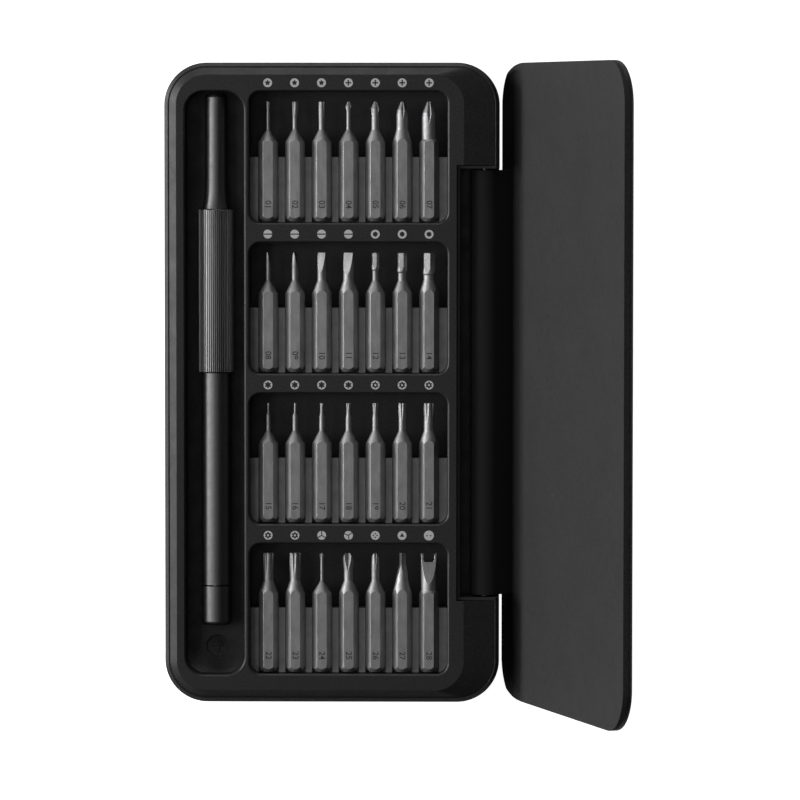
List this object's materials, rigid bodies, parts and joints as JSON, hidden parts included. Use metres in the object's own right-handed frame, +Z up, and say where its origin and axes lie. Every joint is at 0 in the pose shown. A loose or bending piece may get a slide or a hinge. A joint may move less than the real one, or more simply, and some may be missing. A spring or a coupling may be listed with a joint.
{
  "type": "precision screwdriver set",
  "caption": "Precision screwdriver set: flat flip case with a hinged lid, a slim driver handle with a spinning cap, and rows of interchangeable bits.",
  "frame": {"origin": "centre of the case's underside, on the surface that it lies on", "axes": "+X across the case towards the hinge, +Y along it towards the tips of the tools, +Z up"},
  "size_m": [0.1081, 0.1504, 0.0762],
  "materials": {
    "shell_plastic": "fine matt grain",
    "tray_plastic": "fine matt grain",
    "liner_plastic": "smooth matt",
    "rack_rubber": "matt",
    "bit_steel": "fine bead-blasted",
    "barrel_metal": "bead-blasted, dark anodised",
    "nose_metal": "bead-blasted, dark anodised",
    "screw_steel": "black-zinc plated",
    "pin_steel": "ground",
    "magnet": "nickel-plated",
    "bush_brass": "turned"
  },
  "bodies": {
    "case": {"bottom_shell": "shell_plastic", "tray": "tray_plastic", "shell_screws": "screw_steel", "bit_rack_1": "rack_rubber", "bit_rack_2": "rack_rubber", "bit_rack_3": "rack_rubber", "bit_rack_4": "rack_rubber", "rack_magnets": "magnet", "handle_magnets": "magnet", "catch_magnets": "magnet", "hinge_pins": "pin_steel"},
    "lid": {"lid_cover": "shell_plastic", "lid_liner": "liner_plastic", "lid_magnets": "magnet"},
    "driver": {"driver_nose": "nose_metal", "driver_barrel": "barrel_metal", "driver_bit_magnet": "magnet", "driver_bearing": "bush_brass"},
    "cap": {"driver_cap": "barrel_metal", "driver_cap_spindle": "pin_steel"},
    "bit_five_lobe_2": {"bit_five_lobe_2": "bit_steel"},
    "bit_five_lobe_5": {"bit_five_lobe_5": "bit_steel"},
    "bit_five_lobe_6": {"bit_five_lobe_6": "bit_steel"},
    "bit_cross_000": {"bit_cross_000": "bit_steel"},
    "bit_cross_00": {"bit_cross_00": "bit_steel"},
    "bit_cross_0": {"bit_cross_0": "bit_steel"},
    "bit_cross_1": {"bit_cross_1": "bit_steel"},
    "bit_slot_1_5": {"bit_slot_1_5": "bit_steel"},
    "bit_slot_2_0": {"bit_slot_2_0": "bit_steel"},
    "bit_slot_2_5": {"bit_slot_2_5": "bit_steel"},
    "bit_slot_3_0": {"bit_slot_3_0": "bit_steel"},
    "bit_hex_1_5": {"bit_hex_1_5": "bit_steel"},
    "bit_hex_2_0": {"bit_hex_2_0": "bit_steel"},
    "bit_hex_2_5": {"bit_hex_2_5": "bit_steel"},
    "bit_six_lobe_1": {"bit_six_lobe_1": "bit_steel"},
    "bit_six_lobe_2": {"bit_six_lobe_2": "bit_steel"},
    "bit_six_lobe_3": {"bit_six_lobe_3": "bit_steel"},
    "bit_six_lobe_4": {"bit_six_lobe_4": "bit_steel"},
    "bit_six_lobe_5_hollow": {"bit_six_lobe_5_hollow": "bit_steel"},
    "bit_six_lobe_6_hollow": {"bit_six_lobe_6_hollow": "bit_steel"},
    "bit_six_lobe_8_hollow": {"bit_six_lobe_8_hollow": "bit_steel"},
    "bit_six_lobe_9_hollow": {"bit_six_lobe_9_hollow": "bit_steel"},
    "bit_six_lobe_10_hollow": {"bit_six_lobe_10_hollow": "bit_steel"},
    "bit_three_wing_small": {"bit_three_wing_small": "bit_steel"},
    "bit_three_wing_large": {"bit_three_wing_large": "bit_steel"},
    "bit_four_lobe": {"bit_four_lobe": "bit_steel"},
    "bit_triangle": {"bit_triangle": "bit_steel"},
    "bit_fork": {"bit_fork": "bit_steel"}
  },
  "joints": [
    {"name": "lid_hinge", "type": "hinge", "parent": "case", "child": "lid", "pos_m": [0.03591, 0, 0.00719], "axis": [0, 1, 0], "range_deg": [-108.7, 0]},
    {"name": "driver_lift", "type": "slide", "parent": "case", "child": "driver", "axis": [0, 0, 1], "range_m": [0, 0.03]},
    {"name": "cap_spin", "type": "hinge", "parent": "driver", "child": "cap", "pos_m": [-0.0273, -0.05, 0.0095], "axis": [0, 1, 0], "continuous": true},
    {"name": "bit_five_lobe_2_lift", "type": "slide", "parent": "case", "child": "bit_five_lobe_2", "axis": [0, 0, 1], "range_m": [0, 0.02]},
    {"name": "bit_five_lobe_5_lift", "type": "slide", "parent": "case", "child": "bit_five_lobe_5", "axis": [0, 0, 1], "range_m": [0, 0.02]},
    {"name": "bit_five_lobe_6_lift", "type": "slide", "parent": "case", "child": "bit_five_lobe_6", "axis": [0, 0, 1], "range_m": [0, 0.02]},
    {"name": "bit_cross_000_lift", "type": "slide", "parent": "case", "child": "bit_cross_000", "axis": [0, 0, 1], "range_m": [0, 0.02]},
    {"name": "bit_cross_00_lift", "type": "slide", "parent": "case", "child": "bit_cross_00", "axis": [0, 0, 1], "range_m": [0, 0.02]},
    {"name": "bit_cross_0_lift", "type": "slide", "parent": "case", "child": "bit_cross_0", "axis": [0, 0, 1], "range_m": [0, 0.02]},
    {"name": "bit_cross_1_lift", "type": "slide", "parent": "case", "child": "bit_cross_1", "axis": [0, 0, 1], "range_m": [0, 0.02]},
    {"name": "bit_slot_1_5_lift", "type": "slide", "parent": "case", "child": "bit_slot_1_5", "axis": [0, 0, 1], "range_m": [0, 0.02]},
    {"name": "bit_slot_2_0_lift", "type": "slide", "parent": "case", "child": "bit_slot_2_0", "axis": [0, 0, 1], "range_m": [0, 0.02]},
    {"name": "bit_slot_2_5_lift", "type": "slide", "parent": "case", "child": "bit_slot_2_5", "axis": [0, 0, 1], "range_m": [0, 0.02]},
    {"name": "bit_slot_3_0_lift", "type": "slide", "parent": "case", "child": "bit_slot_3_0", "axis": [0, 0, 1], "range_m": [0, 0.02]},
    {"name": "bit_hex_1_5_lift", "type": "slide", "parent": "case", "child": "bit_hex_1_5", "axis": [0, 0, 1], "range_m": [0, 0.02]},
    {"name": "bit_hex_2_0_lift", "type": "slide", "parent": "case", "child": "bit_hex_2_0", "axis": [0, 0, 1], "range_m": [0, 0.02]},
    {"name": "bit_hex_2_5_lift", "type": "slide", "parent": "case", "child": "bit_hex_2_5", "axis": [0, 0, 1], "range_m": [0, 0.02]},
    {"name": "bit_six_lobe_1_lift", "type": "slide", "parent": "case", "child": "bit_six_lobe_1", "axis": [0, 0, 1], "range_m": [0, 0.02]},
    {"name": "bit_six_lobe_2_lift", "type": "slide", "parent": "case", "child": "bit_six_lobe_2", "axis": [0, 0, 1], "range_m": [0, 0.02]},
    {"name": "bit_six_lobe_3_lift", "type": "slide", "parent": "case", "child": "bit_six_lobe_3", "axis": [0, 0, 1], "range_m": [0, 0.02]},
    {"name": "bit_six_lobe_4_lift", "type": "slide", "parent": "case", "child": "bit_six_lobe_4", "axis": [0, 0, 1], "range_m": [0, 0.02]},
    {"name": "bit_six_lobe_5_hollow_lift", "type": "slide", "parent": "case", "child": "bit_six_lobe_5_hollow", "axis": [0, 0, 1], "range_m": [0, 0.02]},
    {"name": "bit_six_lobe_6_hollow_lift", "type": "slide", "parent": "case", "child": "bit_six_lobe_6_hollow", "axis": [0, 0, 1], "range_m": [0, 0.02]},
    {"name": "bit_six_lobe_8_hollow_lift", "type": "slide", "parent": "case", "child": "bit_six_lobe_8_hollow", "axis": [0, 0, 1], "range_m": [0, 0.02]},
    {"name": "bit_six_lobe_9_hollow_lift", "type": "slide", "parent": "case", "child": "bit_six_lobe_9_hollow", "axis": [0, 0, 1], "range_m": [0, 0.02]},
    {"name": "bit_six_lobe_10_hollow_lift", "type": "slide", "parent": "case", "child": "bit_six_lobe_10_hollow", "axis": [0, 0, 1], "range_m": [0, 0.02]},
    {"name": "bit_three_wing_small_lift", "type": "slide", "parent": "case", "child": "bit_three_wing_small", "axis": [0, 0, 1], "range_m": [0, 0.02]},
    {"name": "bit_three_wing_large_lift", "type": "slide", "parent": "case", "child": "bit_three_wing_large", "axis": [0, 0, 1], "range_m": [0, 0.02]},
    {"name": "bit_four_lobe_lift", "type": "slide", "parent": "case", "child": "bit_four_lobe", "axis": [0, 0, 1], "range_m": [0, 0.02]},
    {"name": "bit_triangle_lift", "type": "slide", "parent": "case", "child": "bit_triangle", "axis": [0, 0, 1], "range_m": [0, 0.02]},
    {"name": "bit_fork_lift", "type": "slide", "parent": "case", "child": "bit_fork", "axis": [0, 0, 1], "range_m": [0, 0.02]}
  ]
}
